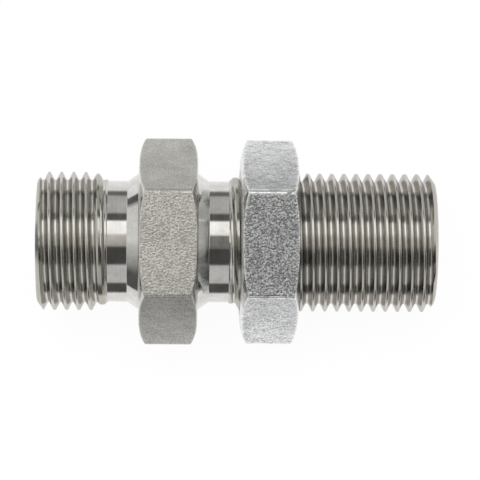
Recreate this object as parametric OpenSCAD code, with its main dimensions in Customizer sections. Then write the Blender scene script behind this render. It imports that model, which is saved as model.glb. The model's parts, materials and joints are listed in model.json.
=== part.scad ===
// Bulkhead fitting: a straight male union with 55 degree parallel pipe threads and one hexagon locknut.
// The body is turned from one hexagon bar. X runs along the bore, Z points away from the flats it lies on.
// The origin is on the bore's axis, in the plane of the hexagon's face that meets the panel.

/* [Threads] */
// Crest diameter of both male threads
thread_d = 20.65; // [17:0.05:25]
// Distance along the axis from one thread turn to the next
thread_pitch = 1.814; // [1.337:0.001:2.309]
// Angle between the two flanks of a thread tooth
thread_angle = 55; // [50:1:60]
// Depth of the thread for each millimetre of pitch
thread_depth_ratio = 0.6403; // [0.5:0.0001:0.7]
// Axial length of the chamfer at the free end of each thread
end_chamfer = 0.9; // [0.6:0.05:2.5]
// How far that chamfer reaches below the root of the thread
chamfer_relief = 0.04; // [0:0.01:0.4]
// Axial length over which each thread fades out by its neck
run_out_l = 1.75; // [0.8:0.05:3]
// Place of the short thread's crest on the +Y side, as a share of a pitch from the free face
short_thread_start = 0.92; // [0:0.01:1]
// Place of the bulkhead thread's crest on the +Y side, as a share of a pitch from the free face
bulkhead_thread_start = 0.42; // [0:0.01:1]

/* [Body] */
// Wrench that fits the flats of the body's hexagon and of the locknut
wrench_size = 27; // [25:0.5:36]
// Length of the short end, from the hexagon to its free face
short_end_l = 15.1; // [12:0.1:25]
// Length of the bulkhead end, from the hexagon to its free face
bulkhead_end_l = 35.3; // [28:0.1:45]
// How much smaller than the wrench the body's hexagon is, across its flats
body_hex_play = 0.1; // [0:0.05:0.5]
// Width of the body's hexagon along the axis
body_hex_w = 8.75; // [5:0.05:16]
// Radius that rounds the corners of the body's hexagon
body_corner_r = 0.7; // [0.3:0.05:2]
// Radial distance from the body hexagon's flats to the crown's edge on its side faces
body_face_inset = 1.25; // [0:0.05:2]
// Axial depth of the crown that is turned on the body hexagon's corners
body_crown_depth = 1.06; // [0.5:0.01:2]
// Length of the cone that runs from the hexagon down to each neck
cone_l = 1.7; // [0.8:0.05:2]
// Angle of that cone to the axis
cone_angle = 35; // [20:1:40]
// Length of each neck, between its cone and its thread
neck_l = 2.9; // [1.5:0.1:5]
// How far the surface of a neck lies below the root of the thread
neck_relief = 0.11; // [0.05:0.01:0.6]

/* [Flow passage] */
// Diameter of the bore that runs through the body
bore_d = 12; // [8:0.1:13.5]
// Diameter of the cone seat in each free face
seat_d = 16.3; // [14:0.1:17]
// Whole angle of the cone seat
seat_angle = 60; // [50:1:90]

/* [Locknut] */
// How much smaller than the wrench the locknut is, across its flats
nut_play = 0.4; // [0:0.05:0.6]
// Thickness of the locknut
nut_w = 8.7; // [5:0.05:12]
// Radius that rounds the corners of the locknut
nut_corner_r = 0.55; // [0.3:0.05:2]
// Radial distance from the locknut's flats to the crown's edge on its side faces
nut_face_inset = 2; // [0:0.05:2]
// Axial depth of the crown that is turned on the locknut's corners
nut_crown_depth = 1.03; // [0.5:0.01:2]
// Gap for the panel, between the body's hexagon and the locknut
panel_gap = 6.3; // [5.5:0.05:12]
// Radial running clearance between the thread's crest and the locknut
nut_clearance = 0.05; // [0.02:0.01:0.1]
// Axial depth of the chamfer at each mouth of the locknut
nut_mouth_chamfer = 0.55; // [0.2:0.05:0.8]

/* [Smoothness] */
// Flat facets in each turn of a thread
thread_segments = 30; // [24:2:36]
// Segments in each turned surface
$fn = 96; // [48:8:160]

/* [Hidden] */

crest_r = thread_d / 2;
thread_depth = thread_depth_ratio * thread_pitch;
root_r = crest_r - thread_depth;
flank_w = thread_depth * tan(thread_angle / 2);
crest_w = (thread_pitch - 2 * flank_w) / 2;
neck_r = root_r - neck_relief;
cone_r = neck_r + cone_l * tan(cone_angle);
seat_depth = (seat_d - bore_d) / 2 / tan(seat_angle / 2);
body_af = wrench_size - body_hex_play;
nut_af = wrench_size - nut_play;

short_face_x = -body_hex_w - short_end_l;
short_thread_x = -body_hex_w - cone_l - neck_l;
bulkhead_thread_x = cone_l + neck_l;
bulkhead_face_x = bulkhead_end_l;

// Overlap of pieces that are joined into one solid, and how far a cutter reaches past a face
join = 1;
// Height of a turned blank over the thread's crest, so that only its end chamfers cut the thread
blank_h = 0.3;
// Bands in a crown, and steps in a rounded corner
crown_steps = 5;
corner_steps = 4;

// Puts a profile of [radius, place along the axis] points round the X axis
module turned(profile) {
    rotate([0, 90, 0]) rotate_extrude() polygon(profile);
}

// Section of the thread through the axis: [place from the middle of the crest, radius]
tooth = [
    [-crest_w / 2 - flank_w, root_r],
    [-crest_w / 2, crest_r],
    [crest_w / 2, crest_r],
    [crest_w / 2 + flank_w, root_r]
];

// A rod with a right-hand helical thread that covers from_x to to_x. Its crest crosses the +Y side at crest_x.
module threaded_rod(from_x, to_x, crest_x) {
    first_turn = floor((from_x - crest_x) / thread_pitch) - 1;
    last_turn = ceil((to_x - crest_x) / thread_pitch) + 1;
    turn = thread_segments;
    steps = (last_turn - first_turn) * turn;
    k = len(tooth);

    function at(i, x, r) = let (a = 360 * i / turn) [x, r * cos(a), r * sin(a)];
    function crest_place(i) = crest_x + thread_pitch * (first_turn + i / turn);
    function square_face(a, b, c, d) = [[a, b, c], [a, c, d]];

    strip = [for (i = [0 : steps], p = tooth) at(i, crest_place(i) + p[0], p[1])];
    start_apex = len(strip);
    end_apex = start_apex + 1;
    apexes = [[crest_place(0) - 2 * thread_pitch, 0, 0], [crest_place(steps) + 2 * thread_pitch, 0, 0]];

    flanks_and_crest = [for (i = [0 : steps - 1], j = [0 : k - 2], f = square_face(
        k * i + j, k * i + j + 1, k * (i + 1) + j + 1, k * (i + 1) + j)) f];
    root = [for (i = [0 : steps - turn - 1], f = square_face(
        k * i + k - 1, k * (i + turn), k * (i + turn + 1), k * (i + 1) + k - 1)) f];
    start_fan = [for (i = [0 : turn - 1]) [start_apex, k * i, k * (i + 1)]];
    start_step = [for (j = [0 : k - 1]) [start_apex, j < k - 1 ? j + 1 : k * turn, j]];
    end_fan = [for (i = [steps - turn : steps - 1]) [end_apex, k * (i + 1) + k - 1, k * i + k - 1]];
    end_step = [for (j = [0 : k - 1])
        [end_apex, j == 0 ? k * (steps - turn) + k - 1 : k * steps + j - 1, k * steps + j]];

    polyhedron(concat(strip, apexes),
        concat(flanks_and_crest, root, start_fan, start_step, end_fan, end_step));
}

// One threaded end of the body. The blank's chamfer tops the first turns, and its run-out fades the turns
// by the neck.
module threaded_end(face_x, neck_x, thread_start) {
    way = sign(face_x - neck_x);
    blank_r = crest_r + blank_h;
    face_r = root_r - chamfer_relief;
    chamfer_slope = (crest_r - face_r) / end_chamfer;
    run_out_slope = thread_depth / run_out_l;
    intersection() {
        threaded_rod(min(face_x, neck_x), max(face_x, neck_x), face_x - way * thread_start * thread_pitch);
        turned([
            [0, face_x], [face_r, face_x],
            [blank_r, face_x - way * (blank_r - face_r) / chamfer_slope],
            [blank_r, neck_x + way * (blank_r - neck_r) / run_out_slope],
            [neck_r - join, neck_x - way * join / run_out_slope],
            [0, neck_x - way * join / run_out_slope]
        ]);
    }
}

// Outline of a hexagon with rounded corners. One pair of its flats faces up and down.
module rounded_hexagon(across_flats, corner_r) {
    corner_place = (across_flats / 2 - corner_r) / cos(30);
    polygon([for (corner = [0 : 5], step = [0 : corner_steps])
        let (a = 60 * corner, b = a + 60 * (step / corner_steps - 0.5))
        [corner_place * cos(a) + corner_r * cos(b), corner_place * sin(a) + corner_r * sin(b)]]);
}

// Arc of a crown, flat where it leaves the face and depth below the face at edge_r
function crown_arc(face_r, edge_r, depth) =
    let (rise = edge_r - face_r, r = (rise * rise + depth * depth) / (2 * depth), sweep = asin(rise / r))
    [for (i = [0 : crown_steps]) let (a = sweep * i / crown_steps) [face_r + r * sin(a), r * (1 - cos(a))]];

// A hexagon that lies from x = 0 to x = width, with a crown turned on both sides
module crowned_hexagon(across_flats, width, corner_r, face_inset, depth) {
    arc = crown_arc(across_flats / 2 - face_inset, across_flats / 2 / cos(30), depth);
    last = len(arc) - 1;
    intersection() {
        rotate([0, 90, 0]) rotate(90) linear_extrude(width) rounded_hexagon(across_flats, corner_r);
        turned(concat(
            [[0, 0]],
            [for (p = arc) p],
            [for (i = [last : -1 : 0]) [arc[i][0], width - arc[i][1]]],
            [[0, width]]
        ));
    }
}

// Necks and cones on both sides of the hexagon
module shank() {
    turned([
        [0, short_thread_x - join],
        [neck_r, short_thread_x - join],
        [neck_r, -body_hex_w - cone_l],
        [cone_r, -body_hex_w],
        [cone_r, 0],
        [neck_r, cone_l],
        [neck_r, bulkhead_thread_x + join],
        [0, bulkhead_thread_x + join]
    ]);
}

// Bore with a cone seat at each free face
module flow_passage() {
    past = join * tan(seat_angle / 2);
    turned([
        [0, short_face_x - join],
        [seat_d / 2 + past, short_face_x - join],
        [bore_d / 2, short_face_x + seat_depth],
        [bore_d / 2, bulkhead_face_x - seat_depth],
        [seat_d / 2 + past, bulkhead_face_x + join],
        [0, bulkhead_face_x + join]
    ]);
}

module fitting_body() {
    color([0.64, 0.625, 0.6])
    difference() {
        union() {
            threaded_end(short_face_x, short_thread_x, short_thread_start);
            threaded_end(bulkhead_face_x, bulkhead_thread_x, bulkhead_thread_start);
            shank();
            translate([-body_hex_w, 0, 0])
                crowned_hexagon(body_af, body_hex_w, body_corner_r, body_face_inset, body_crown_depth);
        }
        flow_passage();
    }
}

module locknut() {
    hole_r = crest_r + nut_clearance;
    mouth_r = hole_r + nut_mouth_chamfer;
    color([0.68, 0.685, 0.69])
    translate([panel_gap, 0, 0])
    difference() {
        crowned_hexagon(nut_af, nut_w, nut_corner_r, nut_face_inset, nut_crown_depth);
        turned([
            [0, -join], [mouth_r + join, -join], [hole_r, nut_mouth_chamfer],
            [hole_r, nut_w - nut_mouth_chamfer], [mouth_r + join, nut_w + join], [0, nut_w + join]
        ]);
    }
}

fitting_body();
locknut();
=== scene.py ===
"""Looks of the bulkhead fitting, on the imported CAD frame.

Lengths are in millimetres until a mesh is made. X runs along the bore, the flats that the fitting lies
on face down, and an angle round the bore starts at +Y and grows towards +Z.
"""

import json
import math

import bmesh
import bpy
import numpy as np
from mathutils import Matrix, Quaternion, Vector


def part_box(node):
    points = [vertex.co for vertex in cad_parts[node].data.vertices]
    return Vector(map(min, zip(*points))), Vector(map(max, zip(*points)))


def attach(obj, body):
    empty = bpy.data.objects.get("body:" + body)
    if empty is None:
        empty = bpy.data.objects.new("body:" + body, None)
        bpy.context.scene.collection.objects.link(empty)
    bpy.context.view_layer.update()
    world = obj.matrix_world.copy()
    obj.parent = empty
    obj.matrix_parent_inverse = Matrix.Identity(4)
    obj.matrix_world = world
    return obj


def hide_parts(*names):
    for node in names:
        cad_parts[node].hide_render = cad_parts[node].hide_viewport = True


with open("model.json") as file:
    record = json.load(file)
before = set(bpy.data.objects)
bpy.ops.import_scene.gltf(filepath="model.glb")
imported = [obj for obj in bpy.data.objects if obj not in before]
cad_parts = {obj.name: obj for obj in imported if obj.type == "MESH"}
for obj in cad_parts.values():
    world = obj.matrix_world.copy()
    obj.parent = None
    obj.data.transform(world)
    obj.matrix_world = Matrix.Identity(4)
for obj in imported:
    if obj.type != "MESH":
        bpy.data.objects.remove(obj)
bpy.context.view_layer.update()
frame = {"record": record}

MM = 0.001
TURN = 2 * math.pi
COS30 = math.cos(math.pi / 6)

# Sizes that the frame gives
MOUNTS = {mount["name"]: mount for mount in frame["record"]["mounts"]}
BODY_LOW, BODY_HIGH = ([c / MM for c in corner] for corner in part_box("fitting_body"))
NUT_LOW, NUT_HIGH = ([c / MM for c in corner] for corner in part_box("locknut"))
SHORT_FACE_X, BULKHEAD_FACE_X = BODY_LOW[0], BODY_HIGH[0]
SHORT_THREAD_X = SHORT_FACE_X + MOUNTS["short_thread"]["dims"]["length_mm"]
BULKHEAD_THREAD_X = BULKHEAD_FACE_X - MOUNTS["bulkhead_thread"]["dims"]["length_mm"]
CREST_R = MOUNTS["short_thread"]["dims"]["r_mm"]
BORE_R = MOUNTS["flow_bore"]["dims"]["r_mm"]
SEAT_DEPTH = (BULKHEAD_FACE_X - SHORT_FACE_X - MOUNTS["flow_bore"]["dims"]["length_mm"]) / 2
BODY_AF, NUT_AF = 2 * BODY_HIGH[2], 2 * NUT_HIGH[2]
BODY_HEX_W = -2 * MOUNTS["resting_flat"]["pos_m"][0] / MM

# Thread: pitch, depth, half angle of a tooth, and the radii that round its crest and its root
PITCH = 1.814
DEPTH = 0.6403 * PITCH
FLANK_ANGLE = math.radians(27.5)
CREST_ROUND, ROOT_ROUND = 0.1, 0.12
# Length of the chamfer at a thread's free end, and of its run-out by the neck
END_CHAMFER, RUN_OUT = 0.9, 1.75
# Where each thread's crest crosses the +Y side
SHORT_CREST_X = SHORT_FACE_X + 0.92 * PITCH
BULKHEAD_CREST_X = BULKHEAD_FACE_X - 0.42 * PITCH
# Radii of the thread's root, of the free faces' edge and of the necks
ROOT_R = CREST_R - DEPTH
FACE_R, NECK_R = ROOT_R - 0.04, ROOT_R - 0.11
# Cones beside the hexagon and cone seats in the free faces: length, angles to the axis, and large radii
CONE_L, CONE_ANGLE, SEAT_ANGLE = 1.7, math.radians(35), math.radians(30)
CONE_R = NECK_R + CONE_L * math.tan(CONE_ANGLE)
SEAT_R = BORE_R + SEAT_DEPTH * math.tan(SEAT_ANGLE)
# Radius that rounds the neck's end of a cone and its foot, and roundings of a seat's outer and inner edge
NECK_ROUND, FOOT_ROUND, SEAT_ROUNDS = 0.14, 0.1, (0.08, 0.15)

# Hexagons: size across the flats, corner radius, inset of the crown from the flats, depth of the crown,
# width along X, and softness of the crown's rim. Rim and ridge are how worn that rim and the corners are.
# Each flat, in turn from the one between +Y and +Z, has its own level of painted light and shade, a factor
# on its colour, and its own share of the grain, which also reaches round the corners by the angle
# grain_reach.
# The slopes, painted shade too, are how much lighter each flat is painted halfway down the fitting than on
# average.
BODY_HEX = dict(
    af=BODY_AF, corner_r=0.7, inset=1.25, depth=1.06, width=BODY_HEX_W, edge=0.16, rim=0.35, ridge=0.35,
    tones=(0.89, 1.1, 0.71, 0.85, 1.1, 0.95), slopes=(0.06, 0, 0.28, 0.1, 0, 0.1),
    grain=(0.3, 1, 0.55, 0.3, 1, 0.45), grain_reach=0.03)
NUT_HEX = dict(
    af=NUT_AF, corner_r=0.55, inset=2.0, depth=1.03, width=NUT_HIGH[0] - NUT_LOW[0], edge=0.14, rim=0.8,
    ridge=1.0, tones=(0.99, 0.69, 1.18, 1.05, 0.8, 1.05), slopes=(0.28, 0, 0.14, 0.1, 0, 0.1),
    grain=(0.16, 1, 0.28, 0.16, 1, 0.28), grain_reach=0.0)
# Play round the male thread, and the axial depth of the chamfer at each mouth of the locknut
NUT_PLAY = 0.05
NUT_MOUTH = 0.55

# Steps over a crown, round its rim and across a flat, and over how many of them the dents are eased in
CROWN_STEPS, RIM_STEPS, FLAT_STEPS, DENT_STEPS = 8, 6, 36, 6
# How far wear reaches from an edge, and how softly a flat's painted light and shade and its grain begin
# beside the crown
WEAR_REACH, FLAT_SOFTNESS = 0.22, 0.1

# Columns round a turned surface, and softness of the edges where chamfers cut a thread
TURNED_COLUMNS, EDGE_SOFTNESS = 120, 0.035
# Fade of the last turn: its softness, where it stops, and the slope of the wall that ends it at the neck
FADE_SOFTNESS, LAST_FADE, NECK_WALL = 0.2, 0.32, 0.9

# Points this close together, in metres, are merged, and edges that bend by more than this angle are sharp
MERGE, SHARP = 2e-7, math.radians(33)


def turned_angles():
    return np.linspace(0, TURN, TURNED_COLUMNS + 1)


def waves(points, length, seed, count=28):
    """Smooth seeded noise between -1 and 1, with features of about one length."""
    rng = np.random.default_rng(seed)
    total = np.zeros(points.shape[:-1])
    for _ in range(count):
        direction = rng.normal(size=3)
        direction *= TURN / (length * rng.uniform(0.7, 1.6) * np.linalg.norm(direction))
        total += np.sin(points @ direction + rng.uniform(0, TURN))
    return np.clip(total / math.sqrt(count) / 1.5, -1, 1)


def cylinder_points(x, r, theta):
    """Points from places along X, radii and angles round the bore."""
    x, r, theta = np.broadcast_arrays(x, r, theta)
    return np.stack([x, r * np.cos(theta), r * np.sin(theta)], axis=-1)


# What each point carries for the materials, and the value that it has where nothing else is said
# Tone is painted light and shade, set flat by flat on the hexagons
TRAITS = dict(wear=0.0, tone=1.0, grain=0.0)


class Skin:
    """Grids of points that are joined into one closed mesh."""

    def __init__(self):
        self.points, self.faces, self.zones = [], [], []
        self.traits = {name: [] for name in TRAITS}
        self.count = 0

    def add_points(self, points, traits):
        start = self.count
        self.points.append(points.reshape(-1, 3))
        for name, plain in TRAITS.items():
            self.traits[name].append(np.broadcast_to(traits.get(name, plain), points.shape[:-1]).reshape(-1))
        self.count += self.points[-1].shape[0]
        return start

    def grid(self, points, zone, **traits):
        """Quads between neighbouring rows and columns of points."""
        rows, columns = points.shape[:2]
        start = self.add_points(points, traits)
        corner = start + np.arange(rows - 1)[:, None] * columns + np.arange(columns - 1)[None, :]
        quads = np.stack([corner, corner + 1, corner + columns + 1, corner + columns], axis=-1)
        self.faces += quads.reshape(-1, 4).tolist()
        self.zones += [zone] * (quads.size // 4)

    def annulus(self, ring, ring_angles, other, other_angles, zone):
        """Triangles between two rings that have different columns."""
        a, b = self.add_points(ring, {}), self.add_points(other, {})
        i = j = 0
        while i < len(ring) - 1 or j < len(other) - 1:
            if j == len(other) - 1 or (i < len(ring) - 1 and ring_angles[i + 1] <= other_angles[j + 1]):
                self.faces.append([a + i, a + i + 1, b + j])
                i += 1
            else:
                self.faces.append([a + i, b + j + 1, b + j])
                j += 1
            self.zones.append(zone)

    def build(self, name, materials):
        """The mesh object, in metres, with its doubled points merged and its faces turned outward."""
        mesh = bpy.data.meshes.new(name)
        mesh.from_pydata((np.concatenate(self.points) * MM).tolist(), [], self.faces)
        mesh.polygons.foreach_set("material_index", self.zones)
        for trait, values in self.traits.items():
            mesh.attributes.new(trait, "FLOAT", "POINT").data.foreach_set("value", np.concatenate(values))
        for material in materials:
            mesh.materials.append(material)
        work = bmesh.new()
        work.from_mesh(mesh)
        bmesh.ops.remove_doubles(work, verts=work.verts, dist=MERGE)
        bmesh.ops.dissolve_degenerate(work, edges=work.edges, dist=MERGE)
        bmesh.ops.recalc_face_normals(work, faces=work.faces)
        work.to_mesh(mesh)
        work.free()
        mesh.shade_smooth()
        mesh.set_sharp_from_angle(angle=SHARP)
        piece = bpy.data.objects.new(name, mesh)
        bpy.context.scene.collection.objects.link(piece)
        return piece


def smooth_min(a, b, softness):
    blend = np.maximum(softness - np.abs(a - b), 0) / softness
    return np.minimum(a, b) - blend * blend * softness / 4


def tooth_section():
    """Half a tooth, from the middle of its crest to the middle of its root: places along X, and radii."""
    flank = DEPTH * math.tan(FLANK_ANGLE)
    crest_edge = (PITCH / 2 - flank) / 2
    bend = math.pi / 2 - FLANK_ANGLE
    places, radii = [0.0], [CREST_R]
    for corner_x, corner_r, rounding, way in (
            (crest_edge, CREST_R, CREST_ROUND, 1), (PITCH / 2 - crest_edge, ROOT_R, ROOT_ROUND, -1)):
        reach = rounding * math.tan(bend / 2)
        turn = np.linspace(0, bend, 4)
        if way > 0:
            places += list(corner_x - reach + rounding * np.sin(turn))
            radii += list(corner_r - rounding * (1 - np.cos(turn)))
        else:
            places += list(corner_x + reach - rounding * np.sin(turn[::-1]))
            radii += list(corner_r + rounding * (1 - np.cos(turn[::-1])))
    return np.array(places + [PITCH / 2]), np.array(radii + [ROOT_R])


TOOTH_X, TOOTH_R = tooth_section()


def thread_radius(x, theta, crest_x):
    """Radius of the thread's surface. Its crest crosses the +Y side at crest_x."""
    phase = (x - crest_x - PITCH * theta / TURN) % PITCH
    return np.interp(np.minimum(phase, PITCH - phase), TOOTH_X, TOOTH_R)


def thread_points(from_x, to_x, crest_x, radius_at):
    """Grid whose rows follow the thread's turns. Its first and last rows lie in the end planes."""
    theta = turned_angles()
    flank_middle = (TOOTH_X[4] + TOOTH_X[5]) / 2
    marks = np.append(TOOTH_X, flank_middle)
    marks = np.unique(np.round(np.concatenate([marks, PITCH - marks]) % PITCH, 9))
    first = math.floor((from_x - PITCH - crest_x) / PITCH) - 1
    last = math.ceil((to_x - crest_x) / PITCH) + 1
    starts = np.concatenate([crest_x + PITCH * turn + marks for turn in range(first, last)])
    starts = starts[(starts > from_x - PITCH + 1e-6) & (starts < to_x - 1e-6)]
    starts = np.concatenate([[from_x - PITCH], starts, [to_x]])
    x = np.clip(starts[:, None] + PITCH * theta / TURN, from_x, to_x)
    return cylinder_points(x, radius_at(x, theta), theta)


def male_thread(skin, face_x, neck_x, crest_x, zone):
    """Thread from its neck to its free face. A chamfer cuts its first turns, and the last one fades out."""
    way = math.copysign(1, face_x - neck_x)
    chamfer, run_out = (CREST_R - FACE_R) / END_CHAMFER, DEPTH / RUN_OUT

    def radius_at(x, theta):
        from_crest = (x - crest_x - PITCH * theta / TURN + PITCH / 2) % PITCH - PITCH / 2
        from_neck = (x - neck_x) * way
        fade = NECK_R + np.maximum(from_neck - from_crest * way, LAST_FADE) * run_out
        wall = NECK_R + from_neck * NECK_WALL
        faded = smooth_min(thread_radius(x, theta, crest_x), fade, FADE_SOFTNESS)
        walled = smooth_min(faded, wall, EDGE_SOFTNESS)
        return smooth_min(walled, FACE_R + np.abs(face_x - x) * chamfer, EDGE_SOFTNESS)

    skin.grid(thread_points(min(face_x, neck_x), max(face_x, neck_x), crest_x, radius_at), zone)


def rounded_profile(corners, steps=5, beside=0.03):
    """Line through (x, r, rounding) corners, with an arc at each corner that has a rounding.

    A point lies close beside each end of an arc, so that the straight parts are shaded straight.
    """
    line = []
    for i, (x, r, rounding) in enumerate(corners):
        here = np.array([x, r])
        if rounding == 0:
            line.append(here)
            continue
        back, ahead = (np.array(corners[k][:2]) - here for k in (i - 1, i + 1))
        back, ahead = back / np.linalg.norm(back), ahead / np.linalg.norm(ahead)
        half = math.acos(float(np.clip(back @ ahead, -1, 1))) / 2
        centre = here + (back + ahead) / np.linalg.norm(back + ahead) * rounding / math.sin(half)
        reach = rounding / math.tan(half)
        start, end = (here + way * reach - centre for way in (back, ahead))
        sweep = math.pi - 2 * half
        line.append(here + back * (reach + beside))
        for s in np.linspace(0, 1, steps):
            arm = start * math.sin((1 - s) * sweep) + end * math.sin(s * sweep)
            line.append(centre + arm / math.sin(sweep))
        line.append(here + ahead * (reach + beside))
    return np.array(line)


def turned(skin, corners, zone):
    line = rounded_profile(corners)
    skin.grid(cylinder_points(line[:, :1], line[:, 1:], turned_angles()), zone)


def hexagon_angles(af, corner_r, corner_steps=4, flat_steps=25):
    """Angles round a hexagon, close together at its rounded corners."""
    centre = (af / 2 - corner_r) / COS30
    rounded = math.atan2(corner_r / 2, centre + corner_r * COS30)
    flat = rounded + (math.pi / 6 - rounded) * np.linspace(0, 1, flat_steps + 1)[1:] ** 1.3
    half = np.concatenate([np.linspace(0, rounded, corner_steps + 1), flat])
    sector = np.concatenate([half, math.pi / 3 - half[-2::-1]])
    angles = np.concatenate([k * math.pi / 3 + sector[:-1] for k in range(6)])
    return np.append(angles, TURN)


def hexagon_outline(af, corner_r, theta):
    """Radius of a hexagon with rounded corners, and each angle's distance from the nearest corner."""
    from_corner = np.abs((theta + math.pi / 6) % (math.pi / 3) - math.pi / 6)
    centre = (af / 2 - corner_r) / COS30
    flat = af / 2 / np.cos(math.pi / 6 - from_corner)
    inside = np.maximum(corner_r ** 2 - (centre * np.sin(from_corner)) ** 2, 0)
    corner = centre * np.cos(from_corner) + np.sqrt(inside)
    return np.where(from_corner * (centre + corner_r * COS30) < corner_r / 2, corner, flat), from_corner


def by_flat(theta, values, ease=0.03):
    """Each flat's own value, eased over the corners by a share of a flat."""
    place = theta / (TURN / 6)
    corner = np.round(place).astype(int)
    before, after = (np.array(values, float)[(corner - k) % 6] for k in (1, 0))
    return before + (after - before) * np.clip((place - corner) / ease + 0.5, 0, 1)


def crown_rows(outline, face_r, arc_r, edge):
    """Rows from a side face over the crown and its soft rim: places along X, radii and the rim's place."""
    meet = np.arcsin((outline - face_r) / arc_r)
    crown = np.linspace(0, 1, CROWN_STEPS + 1)[:, None] * (meet - edge / arc_r)
    x, r = arc_r * (1 - np.cos(crown)), face_r + arc_r * np.sin(crown)
    rim_x, s = arc_r * (1 - np.cos(meet)), np.linspace(0, 1, RIM_STEPS + 1)[1:, None]
    x = np.concatenate([x, (1 - s) ** 2 * x[-1] + 2 * s * (1 - s) * rim_x + s * s * (rim_x + edge)])
    r = np.concatenate([r, (1 - s) ** 2 * r[-1] + 2 * s * (1 - s) * outline + s * s * outline])
    return x, r, rim_x


def dent_depth(points, dents, seed):
    """Depth of the shallow dents at each point. They ease out towards the side faces."""
    row = np.arange(len(points))[:, None]
    ease = np.clip(np.minimum(row, row[::-1]) / DENT_STEPS, 0, 1)
    return sum(size * ease * (1 + waves(points, length, seed + k)) / 2
               for k, (length, size) in enumerate(dents))


def near_edge(distance):
    """One at an edge, fading out away from it."""
    return np.exp(-((distance / WEAR_REACH) ** 2))


def hexagon_traits(hexagon, theta, height, from_rim, from_ridge):
    """What a hexagon's points carry, by their height and by how far they lie from the crown and a corner."""
    wear = np.maximum(near_edge(from_ridge) * hexagon["ridge"], near_edge(from_rim) * hexagon["rim"])
    # Painted light and shade: each flat's own level, painted lighter halfway down the fitting by its slope
    tone = by_flat(theta, hexagon["tones"]) * (1 + by_flat(theta, hexagon["slopes"]) * (1 - 2 * height))
    grain = np.maximum(*(by_flat(theta + way * hexagon["grain_reach"], hexagon["grain"]) for way in (-1, 1)))
    on_flat = np.clip(from_rim / FLAT_SOFTNESS + 0.5, 0, 1)
    return dict(wear=wear, tone=1 + (tone - 1) * on_flat, grain=grain * on_flat)


def crowned_hexagon(skin, hexagon, from_x, zone, dents, seed):
    """Outside of a hexagon with crowned corners. Returns its angles and the radius of its side faces."""
    af, corner_r, depth, width = (hexagon[k] for k in ("af", "corner_r", "depth", "width"))
    theta = hexagon_angles(af, corner_r)
    outline, from_corner = hexagon_outline(af, corner_r, theta)
    face_r = af / 2 - hexagon["inset"]
    rise = af / 2 / COS30 - face_r
    arc_r = (rise * rise + depth * depth) / (2 * depth)
    x, r, rim_x = crown_rows(outline, face_r, arc_r, hexagon["edge"])

    across = np.linspace(0, 1, FLAT_STEPS + 1)[1:-1, None]
    flats_x = x[-1] + across * (width - 2 * x[-1])
    x = np.concatenate([x, flats_x, width - x[::-1]])
    r = np.concatenate([r, np.broadcast_to(outline, flats_x.shape), r[::-1]])

    dent = dent_depth(cylinder_points(from_x + x, r, theta), dents, seed)
    # Height sets where the painted shade's slope lies on each flat
    height = np.abs(r * np.sin(theta)) / (af / 2)
    from_rim = np.minimum(x, width - x) - rim_x
    from_ridge = np.maximum(from_corner * outline - corner_r / 2, 0)
    skin.grid(cylinder_points(from_x + x, r - dent, theta), zone,
              **hexagon_traits(hexagon, theta, height, from_rim, from_ridge))
    return theta, face_r


def side_face(skin, x, inner_r, face_r, theta, zone):
    """Flat ring on the side of a hexagon, from a turned edge out to the crown."""
    middle_r = (inner_r + face_r) / 2
    turned(skin, [(x, inner_r, 0), (x, middle_r, 0)], zone)
    skin.annulus(cylinder_points(x, middle_r, turned_angles()), turned_angles(),
                 cylinder_points(x, face_r, theta), theta, zone)


def shank_side(skin, hex_x, way, zone):
    """Neck and cone on one side of the body's hexagon. Way is +1 towards the bulkhead end.

    A point close beside the thread keeps the neck shaded straight. Returns the radius where the foot ends.
    """
    neck_end = BULKHEAD_THREAD_X if way > 0 else SHORT_THREAD_X
    beside, past_foot = 0.05, CONE_R + 4 * FOOT_ROUND
    turned(skin, [
        (neck_end, NECK_R, 0),
        (neck_end - way * beside, NECK_R, 0),
        (hex_x + way * CONE_L, NECK_R, NECK_ROUND),
        (hex_x, CONE_R, FOOT_ROUND),
        (hex_x, past_foot, 0),
    ], zone)
    return past_foot


def flow_passage(skin, zone):
    """Free faces, cone seats and bore."""
    ends = []
    for face_x, way in ((SHORT_FACE_X, 1), (BULKHEAD_FACE_X, -1)):
        ends.append([
            (face_x, FACE_R, 0),
            (face_x, SEAT_R, SEAT_ROUNDS[0]),
            (face_x + way * SEAT_DEPTH, BORE_R, SEAT_ROUNDS[1]),
        ])
    turned(skin, ends[0] + ends[1][::-1], zone)


def fitting_body(materials):
    hexagon_zone, neck_zone, thread_zone, face_zone, passage_zone = range(5)
    skin = Skin()
    male_thread(skin, SHORT_FACE_X, SHORT_THREAD_X, SHORT_CREST_X, thread_zone)
    male_thread(skin, BULKHEAD_FACE_X, BULKHEAD_THREAD_X, BULKHEAD_CREST_X, thread_zone)
    theta, face_r = crowned_hexagon(
        skin, BODY_HEX, -BODY_HEX_W, hexagon_zone, dents=((4.5, 0.012), (1.3, 0.008)), seed=11)
    for hex_x, way in ((-BODY_HEX_W, -1), (0, 1)):
        inner_r = shank_side(skin, hex_x, way, neck_zone)
        side_face(skin, hex_x, inner_r, face_r, theta, face_zone)
    flow_passage(skin, passage_zone)
    return skin.build("fitting_visual", materials)


def locknut(materials):
    hexagon_zone, thread_zone, face_zone = range(3)
    skin = Skin()
    near_x, far_x = NUT_LOW[0], NUT_HIGH[0]
    mouth_r = CREST_R + NUT_PLAY + NUT_MOUTH

    def radius_at(x, theta):
        mouth = mouth_r - np.minimum(x - near_x, far_x - x)
        return np.maximum(thread_radius(x, theta, BULKHEAD_CREST_X) + NUT_PLAY, mouth)

    skin.grid(thread_points(near_x, far_x, BULKHEAD_CREST_X, radius_at), thread_zone)
    theta, face_r = crowned_hexagon(
        skin, NUT_HEX, near_x, hexagon_zone, dents=((3.5, 0.012), (1.0, 0.01)), seed=31)
    for x in (near_x, far_x):
        side_face(skin, x, mouth_r, face_r, theta, face_zone)
    return skin.build("locknut_visual", materials)


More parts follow.
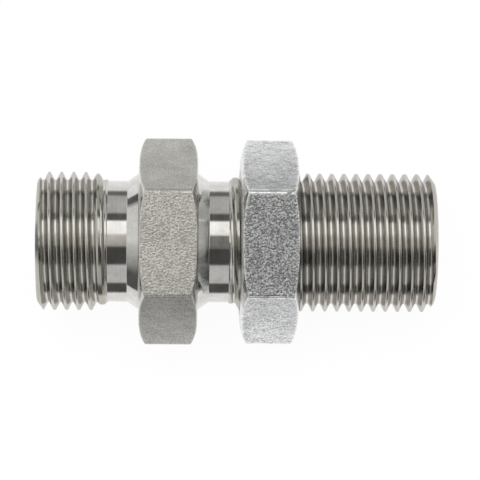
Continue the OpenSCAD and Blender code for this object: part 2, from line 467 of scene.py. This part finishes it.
def add(tree, kind, inputs=None, **settings):
    """A node with its settings, and with its inputs linked or set."""
    node = tree.nodes.new("ShaderNode" + kind)
    for name, value in settings.items():
        setattr(node, name, value)
    for key, value in (inputs or {}).items():
        if isinstance(value, bpy.types.NodeSocket):
            tree.links.new(value, node.inputs[key])
        else:
            node.inputs[key].default_value = value
    return node


def maths(tree, operation, *values, clamp=False):
    return add(tree, "Math", dict(enumerate(values)), operation=operation, use_clamp=clamp).outputs[0]


def remap(tree, value, from_low, from_high, to_low=0.0, to_high=1.0):
    return add(tree, "MapRange", {0: value, 1: from_low, 2: from_high, 3: to_low, 4: to_high}).outputs[0]


def window(tree, value, low, high, soft):
    """One between low and high, and zero outside, with soft sides."""
    rise = remap(tree, value, low - soft, low)
    return maths(tree, "MULTIPLY", rise, remap(tree, value, high, high + soft, 1.0, 0.0))


def noise(tree, where, scale, detail=2.0, roughness=0.5):
    """Cloudy noise. Its scale is in features a millimetre."""
    return add(tree, "TexNoise", {"Vector": where, "Scale": scale, "Detail": detail,
                                  "Roughness": roughness}).outputs["Fac"]


def patches(tree, where, scale, low, high, detail=2.0, roughness=0.5):
    """Cloudy noise, spread out between two values."""
    return remap(tree, noise(tree, where, scale, detail, roughness), 0.3, 0.7, low, high)


def scaled(tree, colour, level):
    return add(tree, "VectorMath", {0: colour, "Scale": level}, operation="SCALE").outputs[0]


def mix_colour(tree, factor, low, high):
    return add(tree, "Mix", {0: factor, 6: low, 7: high}, data_type="RGBA").outputs[2]


def rgb(colour):
    return (*colour, 1.0)


def new_metal(name):
    """A metal's material, its node tree, its shader, and the place on the surface in millimetres."""
    material = bpy.data.materials.new(name)
    material.use_nodes = True
    tree = material.node_tree
    shader = tree.nodes["Principled BSDF"]
    shader.inputs["Metallic"].default_value = 1.0
    place = add(tree, "Mapping", {0: add(tree, "TexCoord").outputs["Object"], 3: (1 / MM,) * 3})
    return material, tree, shader, place.outputs[0]


def radius_and_x(tree, place):
    split = add(tree, "SeparateXYZ", {0: place})
    ring = add(tree, "CombineXYZ", {1: split.outputs[1], 2: split.outputs[2]})
    radius = add(tree, "VectorMath", {0: ring.outputs[0]}, operation="LENGTH").outputs["Value"]
    return radius, split.outputs[0]


def tool_marks(tree, along, scale, detail=3.0):
    """Fine lines across one direction, as a turning tool leaves them."""
    return add(tree, "TexNoise", {"W": along, "Scale": scale, "Detail": detail, "Roughness": 0.6},
               noise_dimensions="1D").outputs["Fac"]


def bump(tree, height, microns, below=None, strength=1.0):
    """Bump whose height of one stands for this many thousandths of a millimetre."""
    inputs = {"Height": height, "Strength": strength, "Distance": microns * MM * MM}
    if below:
        inputs["Normal"] = below
    return add(tree, "Bump", inputs).outputs[0]


def hexagon_steel(name, dark, light, worn, rough, turned_rough, clouds, grain, microns, speckle):
    """Steel of a hexagon: forged flats with a pebbled grain, drawn flats, turned crowns and worn edges.

    Clouds and speckle are how much the tone varies slowly and with the grain. The grain has this many bumps
    a millimetre, and they are about this many microns high.
    """
    material, tree, shader, place = new_metal(name)
    wear, tone, share = (add(tree, "Attribute", attribute_name=trait).outputs["Fac"] for trait in TRAITS)
    slow = patches(tree, place, 0.22, 0.5 - clouds, 0.5 + clouds, 3.0, 0.55)
    specks = patches(tree, place, grain * 1.2, -speckle, speckle, 1.5)
    shade = maths(tree, "ADD", slow, maths(tree, "MULTIPLY", specks, share))
    # The tone scales the colour by each flat's painted light and shade
    colour = scaled(tree, mix_colour(tree, shade, rgb(dark), rgb(light)), tone)
    polished = maths(tree, "MULTIPLY", wear, remap(tree, noise(tree, place, 1.1), 0.35, 0.6, 0.2, 1.0))
    tree.links.new(mix_colour(tree, polished, colour, rgb(worn)), shader.inputs["Base Color"])
    matt = remap(tree, share, 0.0, 0.25, turned_rough, patches(tree, place, 0.9, *rough, 3.0))
    smoother = maths(tree, "MULTIPLY", polished, 0.1)
    tree.links.new(maths(tree, "SUBTRACT", matt, smoother), shader.inputs["Roughness"])
    left = maths(tree, "MULTIPLY", share, maths(tree, "SUBTRACT", 1.0, polished))
    pebbled = bump(tree, noise(tree, place, grain), microns, strength=left)
    drawn = bump(tree, noise(tree, place, 0.8, 3.0), microns * 0.5, pebbled)
    tree.links.new(drawn, shader.inputs["Normal"])
    return material


def turned_steel(name, dark, light, rough, marks_microns, clean=1.0):
    """Bright turned steel: lines round the axis, and a slow haze. What isn't clean is a thin matt film."""
    material, tree, shader, place = new_metal(name)
    shader.inputs["Metallic"].default_value = clean
    radius, x = radius_and_x(tree, place)
    along = maths(tree, "ADD", x, maths(tree, "MULTIPLY", radius, 0.6))
    lines = tool_marks(tree, along, 5.5)
    haze = noise(tree, place, 0.5, 4.0, 0.6)
    tone = maths(tree, "MULTIPLY", remap(tree, haze, 0.3, 0.7), remap(tree, lines, 0.25, 0.75, 0.5, 1.2))
    tree.links.new(mix_colour(tree, tone, rgb(dark), rgb(light)), shader.inputs["Base Color"])
    matt = remap(tree, maths(tree, "ADD", haze, lines), 0.7, 1.3, *rough)
    tree.links.new(matt, shader.inputs["Roughness"])
    waviness = bump(tree, tool_marks(tree, along, 1.2, 1.0), marks_microns * 3)
    tree.links.new(bump(tree, lines, marks_microns, waviness), shader.inputs["Normal"])
    return material


# Tint of cut steel that is seen at a grazing angle
GRAZING = (0.77, 0.755, 0.74)


def thread_steel(name, flank, ends_tone, rough):
    """Cut threads: bright roots, rougher crests, and stained flanks with fine marks along them."""
    material, tree, shader, place = new_metal(name)
    shader.inputs["Specular Tint"].default_value = rgb(GRAZING)
    radius, x = radius_and_x(tree, place)
    height = remap(tree, radius, ROOT_R, CREST_R)
    ends = maths(tree, "ABSOLUTE", remap(tree, height, 0.0, 1.0, -1.0, 1.0))
    stain = patches(tree, place, 0.6, -0.25, 0.25, 4.0, 0.6)
    tone = maths(tree, "ADD", maths(tree, "POWER", ends, 3.0), stain, clamp=True)
    tree.links.new(mix_colour(tree, tone, rgb(flank), rgb(ends_tone)), shader.inputs["Base Color"])
    lines = tool_marks(tree, maths(tree, "ADD", radius, maths(tree, "MULTIPLY", x, 0.02)), 9.0)
    matt = remap(tree, maths(tree, "ADD", lines, stain), 0.2, 0.8, *rough)
    torn = remap(tree, height, 0.8, 0.95, 0.0, 0.06)
    tree.links.new(maths(tree, "ADD", matt, torn), shader.inputs["Roughness"])
    chatter = bump(tree, noise(tree, place, 2.6, 2.0), 2.5)
    tree.links.new(bump(tree, lines, 0.8, chatter), shader.inputs["Normal"])
    return material


def fitting_materials():
    neck = turned_steel("turned_neck", (0.56, 0.54, 0.505), (0.742, 0.74, 0.73), (0.05, 0.12), 0.14)
    face = turned_steel("faced_ends", (0.54, 0.53, 0.51), (0.66, 0.65, 0.625), (0.12, 0.2), 0.3)
    thread = thread_steel("cut_thread", (0.49, 0.474, 0.44), (0.68, 0.663, 0.635), (0.12, 0.22))
    skin = hexagon_steel("satin_hexagon", dark=(0.48, 0.463, 0.433), light=(0.74, 0.718, 0.678),
                         worn=(0.66, 0.645, 0.615), rough=(0.36, 0.44), turned_rough=0.22,
                         clouds=0.38, grain=3.5, microns=100, speckle=1.4)
    passage = turned_steel("flow_passage", (0.5, 0.49, 0.47), (0.66, 0.65, 0.625), (0.28, 0.38), 0.4,
                           clean=0.7)
    return [skin, neck, thread, face, passage]


def locknut_materials():
    skin = hexagon_steel("zinc_hexagon", dark=(0.36, 0.363, 0.37), light=(0.87, 0.875, 0.88),
                         worn=(0.9, 0.9, 0.9), rough=(0.24, 0.36), turned_rough=0.2,
                         clouds=0.14, grain=3.3, microns=200, speckle=1.95)
    thread = thread_steel("nut_thread", (0.45, 0.45, 0.45), (0.7, 0.7, 0.7), (0.15, 0.28))
    face = turned_steel("nut_faces", (0.54, 0.55, 0.55), (0.64, 0.65, 0.65), (0.1, 0.16), 0.3)
    return [skin, thread, face]


# Light of the studio by its direction across the bore: degrees from straight up towards +Y, and level
BANDS = (
    (-117, 0.95), (-110, 0.1), (-86.5, 0.1), (-83, 0.65), (-46, 0.65), (-42, 0.08), (-10.5, 0.08),
    (-6.5, 0.52), (13, 0.78), (16.5, 1.33), (38.5, 1.43), (42, 0.12), (54, 0.12), (58, 0.53), (96, 0.54),
    (100, 0.2), (109, 0.2), (116, 0.95),
)
# Tint of the bands within these degrees, and of the others
WARM_BAND, WARM, NEUTRAL = (-13, 13), (1.0, 0.965, 0.915), (1.0, 1.0, 1.0)
# Share of the bands' light that comes from well off the square direction, towards +X, and where it drops to
# that share. A place along X is the sine of its angle to the square direction, here and below.
SLANT, SLANT_X = 0.4, (0.2, 0.42)
# The arm: where it lies along X, how far it reaches to each side, how softly it ends both ways, its level
ARM_X, ARM_TURN = (-0.002, 0.06), math.radians(12)
ARM_SOFT_X, ARM_SOFT_TURN, ARM_LEVEL = 0.002, 0.01, 0.2
# Level of the panels past the ends, towards -X and towards +X, and their tint
END_PANELS, END_TINT = (0.88, 0.42), (0.985, 1.0, 0.975)
# Where those panels begin along X, on each side, and how softly
END_START, END_SOFT = (0.5, 0.84), 0.14
# The first panel also comes in over the short end: its level there, its tint, and where it is whole and
# where it ends
OVERHANG, OVERHANG_TINT, OVERHANG_X = 0.85, (0.97, 1.0, 0.96), (-0.32, -0.1)
# Strip light over the bulkhead end, which lights the rims that face it: its place along X, its softness
# there, where it comes in along Y and with height, and its level
STRIP_X, STRIP_SOFT, STRIP_Y, STRIP_Z = (0.5, 0.8), 0.04, (-0.25, -0.06), (0.1, 0.2)
STRIP = 1.35
# Height where the end panels begin, as the sine of an angle, on the -Y side and on the +Y side, and where
# the height changes over from one side to the other, along Y
HORIZON, HORIZON_TURN = (0.09, -0.105), (-0.3, 0.3)
# How softly they begin there, and the level under them
HORIZON_SOFT, UNDER_PANELS = 0.06, 0.13
# How far the first panel has dimmed where it reaches round to the -Y side, and where it does so
DIMMED, DIMMING = 0.35, (-0.5, 0.05)
# Part of the floor that the metal mirrors, how softly it ends, and how much of it then shines plain white
FLOOR_GLOW_X, FLOOR_GLOW_Y = (-76.0, 220.0), (-44.0, 45.0)
FLOOR_SOFT_X, FLOOR_SOFT_Y = 6.0, 3.0
FLOOR_WHITE = 0.95


def by_side(tree, x, low, high):
    """One value where x is below zero, and another where it is above."""
    swing = maths(tree, "MULTIPLY", (high - low) / 2, maths(tree, "SIGN", x))
    return maths(tree, "ADD", (low + high) / 2, swing)


def studio_bands(tree, x, y, z):
    """Soft boxes and black cards that run along the bore, and the arm that holds the camera."""
    around = maths(tree, "ARCTAN2", y, z)
    ramp = add(tree, "ValToRGB", {0: remap(tree, around, -math.pi, math.pi)})
    stops = ramp.color_ramp.elements
    while len(stops) < len(BANDS):
        stops.new(0.5)
    for stop, (degrees, level) in zip(stops, BANDS):
        stop.position = degrees / 360 + 0.5
        tint = WARM if WARM_BAND[0] <= degrees <= WARM_BAND[1] else NEUTRAL
        stop.color = rgb([level * c for c in tint])
    over = window(tree, x, *ARM_X, ARM_SOFT_X)
    arm = maths(tree, "MULTIPLY", over, window(tree, around, -ARM_TURN, ARM_TURN, ARM_SOFT_TURN))
    bands = mix_colour(tree, arm, ramp.outputs[0], rgb([ARM_LEVEL] * 3))
    lit = scaled(tree, bands, remap(tree, x, *SLANT_X, 1.0, SLANT))
    under = remap(tree, x, *OVERHANG_X, 1.0, 0.0)
    return mix_colour(tree, under, lit, rgb([OVERHANG * c for c in OVERHANG_TINT]))


def strip_light(tree, x, y, z):
    """How much of a direction belongs to the strip light."""
    over = window(tree, x, *STRIP_X, STRIP_SOFT)
    within = maths(tree, "MULTIPLY", remap(tree, z, *STRIP_Z), remap(tree, y, *STRIP_Y))
    return maths(tree, "MULTIPLY", over, within)


def end_panels(tree, x, y, z):
    """Colour of the panels past the ends, and how much of a direction belongs to them."""
    horizon = remap(tree, y, *HORIZON_TURN, *HORIZON)
    full = remap(tree, maths(tree, "MAXIMUM", x, y), *DIMMING, DIMMED, 1.0)
    height = maths(tree, "SUBTRACT", z, horizon)
    lit = remap(tree, height, -HORIZON_SOFT, HORIZON_SOFT, UNDER_PANELS, full)
    level = maths(tree, "MULTIPLY", by_side(tree, x, *END_PANELS), lit)
    start = by_side(tree, x, *END_START)
    at_end = remap(tree, maths(tree, "ABSOLUTE", x), start, maths(tree, "ADD", start, END_SOFT))
    return scaled(tree, END_TINT, level), at_end


def studio_world():
    """Bands across the bore, plain panels past its ends, and plain white for the camera itself."""
    world = bpy.data.worlds.new("studio")
    bpy.context.scene.world = world
    world.use_nodes = True
    tree = world.node_tree
    x, y, z = add(tree, "SeparateXYZ", {0: add(tree, "TexCoord").outputs["Generated"]}).outputs
    bands = studio_bands(tree, x, y, z)
    over_bore = mix_colour(tree, strip_light(tree, x, y, z), bands, rgb([STRIP] * 3))
    ends, at_end = end_panels(tree, x, y, z)
    light = mix_colour(tree, at_end, over_bore, ends)
    seen = add(tree, "LightPath").outputs["Is Camera Ray"]
    tree.links.new(mix_colour(tree, seen, light, rgb((1, 1, 1))), tree.nodes["Background"].inputs["Color"])


def floor_material():
    """Pale floor that takes the shadow. The camera sees it white, and so does the metal where it is near."""
    material = bpy.data.materials.new("pale_floor")
    material.use_nodes = True
    tree = material.node_tree
    tree.nodes.remove(tree.nodes["Principled BSDF"])
    path = add(tree, "LightPath").outputs
    place = add(tree, "SeparateXYZ", {0: add(tree, "NewGeometry").outputs["Position"]}).outputs
    in_x = window(tree, place[0], FLOOR_GLOW_X[0] * MM, FLOOR_GLOW_X[1] * MM, FLOOR_SOFT_X * MM)
    middle, half = sum(FLOOR_GLOW_Y) / 2 * MM, (FLOOR_GLOW_Y[1] - FLOOR_GLOW_Y[0]) / 2 * MM
    from_middle = maths(tree, "ABSOLUTE", maths(tree, "SUBTRACT", place[1], middle))
    in_y = remap(tree, from_middle, half, half + FLOOR_SOFT_Y * MM, 1.0, 0.0)
    beyond = maths(tree, "SUBTRACT", 1.0, maths(tree, "MULTIPLY", in_x, in_y))
    glow = add(tree, "Emission", {"Strength": 1.0})
    matt = add(tree, "BsdfDiffuse", {"Color": rgb((0.9, 0.9, 0.9))})
    seen = maths(tree, "MAXIMUM", path["Is Camera Ray"],
                 maths(tree, "MAXIMUM", path["Is Glossy Ray"], path["Is Transmission Ray"]))
    share = maths(tree, "MULTIPLY", seen, FLOOR_WHITE)
    sheet = add(tree, "MixShader", {0: share, 1: matt.outputs[0], 2: glow.outputs[0]})
    past = maths(tree, "MULTIPLY", beyond, path["Is Glossy Ray"])
    edge = add(tree, "MixShader", {0: past, 1: sheet.outputs[0], 2: add(tree, "BsdfTransparent").outputs[0]})
    tree.links.new(edge.outputs[0], tree.nodes["Material Output"].inputs["Surface"])
    return material


def floor():
    size, z = 3.0, BODY_LOW[2] * MM
    corners = [(x * size, y * size, z) for x, y in ((-1, -1), (1, -1), (1, 1), (-1, 1))]
    mesh = bpy.data.meshes.new("floor")
    mesh.from_pydata(corners, [], [(0, 1, 2, 3)])
    mesh.materials.append(floor_material())
    ground = bpy.data.objects.new("floor", mesh)
    bpy.context.scene.collection.objects.link(ground)


# Lamp, in metres and watts: its place, its width and its power
LAMP_X, LAMP_Y, LAMP_Z = -0.1, 0.25, 0.9
LAMP_SIZE, LAMP_POWER = 0.8, 7.0


def shadow_lamp():
    """Broad lamp overhead, aimed at the fitting. It lights what is matt and isn't mirrored in the metal."""
    data = bpy.data.lights.new("overhead", "AREA")
    data.shape, data.size, data.energy = "DISK", LAMP_SIZE, LAMP_POWER
    lamp = bpy.data.objects.new("overhead", data)
    lamp.location = (LAMP_X, LAMP_Y, LAMP_Z)
    lamp.rotation_euler = (-math.atan2(LAMP_Y, LAMP_Z), math.atan2(LAMP_X, LAMP_Z), 0)
    lamp.visible_glossy = False
    bpy.context.scene.collection.objects.link(lamp)


# Camera: its place over the fitting, the point on the axis at the picture's centre, its roll and its lens
CAMERA_X, CAMERA_Y, CAMERA_Z = -3.06, 8.93, 405.0
CENTRE_X, CENTRE_Y = 6.35, 0.3
ROLL, LENS = math.radians(0.4), 202.9


def camera():
    data = bpy.data.cameras.new("camera")
    data.lens, data.sensor_width = LENS, 36.0
    data.clip_start, data.clip_end = 0.05, 10.0
    eye = bpy.data.objects.new("camera", data)
    eye.location = (CAMERA_X * MM, CAMERA_Y * MM, CAMERA_Z * MM)
    aim = Vector((CENTRE_X - CAMERA_X, CENTRE_Y - CAMERA_Y, -CAMERA_Z)).normalized()
    tilt = Vector((0, 0, -1)).rotation_difference(aim)
    eye.rotation_euler = (tilt @ Quaternion((0, 0, 1), ROLL)).to_euler()
    bpy.context.scene.collection.objects.link(eye)
    bpy.context.scene.camera = eye


camera()
studio_world()
shadow_lamp()
floor()

body = fitting_body(fitting_materials())
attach(body, "fitting")
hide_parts("fitting_body")

nut = locknut(locknut_materials())
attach(nut, "nut")
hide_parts("locknut")

bpy.context.scene.view_settings.view_transform = "Standard"
